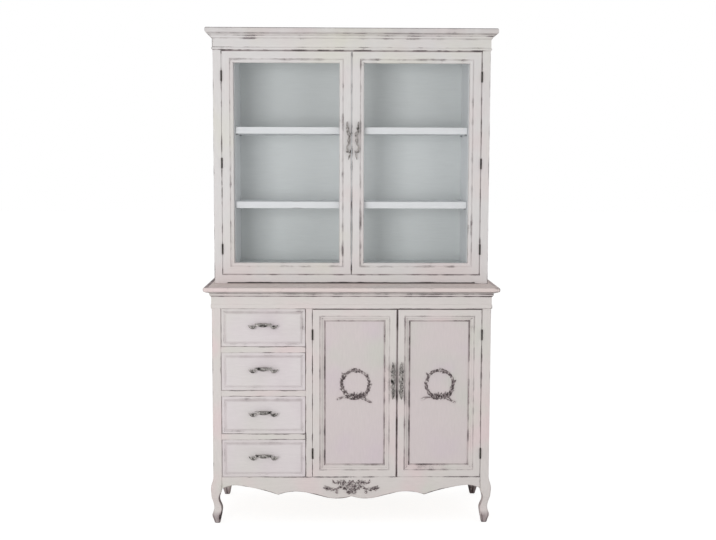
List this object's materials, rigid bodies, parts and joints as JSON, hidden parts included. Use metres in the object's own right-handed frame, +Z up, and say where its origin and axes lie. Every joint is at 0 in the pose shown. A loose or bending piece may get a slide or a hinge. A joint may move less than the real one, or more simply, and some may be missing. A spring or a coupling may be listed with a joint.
{
  "type": "dresser with hutch",
  "caption": "Painted dresser with drawers and a panelled cupboard on cabriole legs, and a shallow glazed hutch with shelves on top.",
  "frame": {"origin": "on the floor, under the middle of the dresser's outline", "axes": "+X to the right as seen from the front, +Y to the back, +Z up"},
  "size_m": [1.21, 0.47, 2.05],
  "materials": {
    "hutch_paint": "distressed chalk paint, warm off-white",
    "buffet_paint": "distressed chalk paint, pinkish grey",
    "interior_paint": "satin cool white paint",
    "rubbed_appliques": "paint rubbed back to dark wax",
    "bare_wood": "bare pale wood",
    "aged_metal": "antique dark patina",
    "hinge_metal": "antique dark patina",
    "glass": "clear float glass"
  },
  "bodies": {
    "case": {"apron_carving": "rubbed_appliques", "buffet_back_panel": "bare_wood", "buffet_floor": "bare_wood", "buffet_mouldings": "buffet_paint", "buffet_partition": "bare_wood", "buffet_side_panels": "buffet_paint", "buffet_top": "buffet_paint", "centre_stile": "buffet_paint", "cornice_board": "hutch_paint", "cornice_mouldings": "hutch_paint", "cupboard_shelf": "bare_wood", "drawer_runners": "bare_wood", "front_apron": "buffet_paint", "front_left_leg": "buffet_paint", "front_rails": "buffet_paint", "front_right_leg": "buffet_paint", "hinge_frame_leaves": "hinge_metal", "hinge_pins": "hinge_metal", "hutch_back_panel": "interior_paint", "hutch_face_frame": "hutch_paint", "hutch_floor_and_top": "interior_paint", "hutch_floor_bearer": "interior_paint", "hutch_linings": "interior_paint", "hutch_shelves": "interior_paint", "hutch_side_panels": "hutch_paint", "rear_left_leg": "buffet_paint", "rear_right_leg": "buffet_paint", "shelf_cleats_and_door_stop": "bare_wood", "shelf_pins": "hinge_metal", "side_rails_and_aprons": "buffet_paint"},
    "drawer_1": {"drawer_1_box": "bare_wood", "drawer_1_front": "buffet_paint", "drawer_1_pull": "aged_metal"},
    "drawer_2": {"drawer_2_box": "bare_wood", "drawer_2_front": "buffet_paint", "drawer_2_pull": "aged_metal"},
    "drawer_3": {"drawer_3_box": "bare_wood", "drawer_3_front": "buffet_paint", "drawer_3_pull": "aged_metal"},
    "drawer_4": {"drawer_4_box": "bare_wood", "drawer_4_front": "buffet_paint", "drawer_4_pull": "aged_metal"},
    "left_door": {"left_door_frame": "buffet_paint", "left_door_hinge_leaves": "hinge_metal", "left_door_panel": "buffet_paint", "left_door_pull": "aged_metal", "left_door_wreath": "rubbed_appliques"},
    "right_door": {"right_door_frame": "buffet_paint", "right_door_hinge_leaves": "hinge_metal", "right_door_panel": "buffet_paint", "right_door_pull": "aged_metal", "right_door_wreath": "rubbed_appliques"},
    "left_glass_door": {"left_glass_door_frame": "hutch_paint", "left_glass_door_glass": "glass", "left_glass_door_hinge_leaves": "hinge_metal", "left_glass_door_pull": "aged_metal"},
    "right_glass_door": {"right_glass_door_frame": "hutch_paint", "right_glass_door_glass": "glass", "right_glass_door_hinge_leaves": "hinge_metal", "right_glass_door_pull": "aged_metal"}
  },
  "joints": [
    {"name": "drawer_1_slide", "type": "slide", "parent": "case", "child": "drawer_1", "axis": [0, -1, 0], "range_m": [0, 0.28]},
    {"name": "drawer_2_slide", "type": "slide", "parent": "case", "child": "drawer_2", "axis": [0, -1, 0], "range_m": [0, 0.28]},
    {"name": "drawer_3_slide", "type": "slide", "parent": "case", "child": "drawer_3", "axis": [0, -1, 0], "range_m": [0, 0.28]},
    {"name": "drawer_4_slide", "type": "slide", "parent": "case", "child": "drawer_4", "axis": [0, -1, 0], "range_m": [0, 0.28]},
    {"name": "left_door_hinge", "type": "hinge", "parent": "case", "child": "left_door", "pos_m": [-0.161, -0.2085, 0.545], "axis": [0, 0, -1], "range_deg": [0, 90]},
    {"name": "right_door_hinge", "type": "hinge", "parent": "case", "child": "right_door", "pos_m": [0.536, -0.2085, 0.545], "axis": [0, 0, 1], "range_deg": [0, 110]},
    {"name": "left_glass_door_hinge", "type": "hinge", "parent": "case", "child": "left_glass_door", "pos_m": [-0.541, -0.0655, 1.494], "axis": [0, 0, -1], "range_deg": [0, 110]},
    {"name": "right_glass_door_hinge", "type": "hinge", "parent": "case", "child": "right_glass_door", "pos_m": [0.541, -0.0655, 1.494], "axis": [0, 0, 1], "range_deg": [0, 110]}
  ]
}
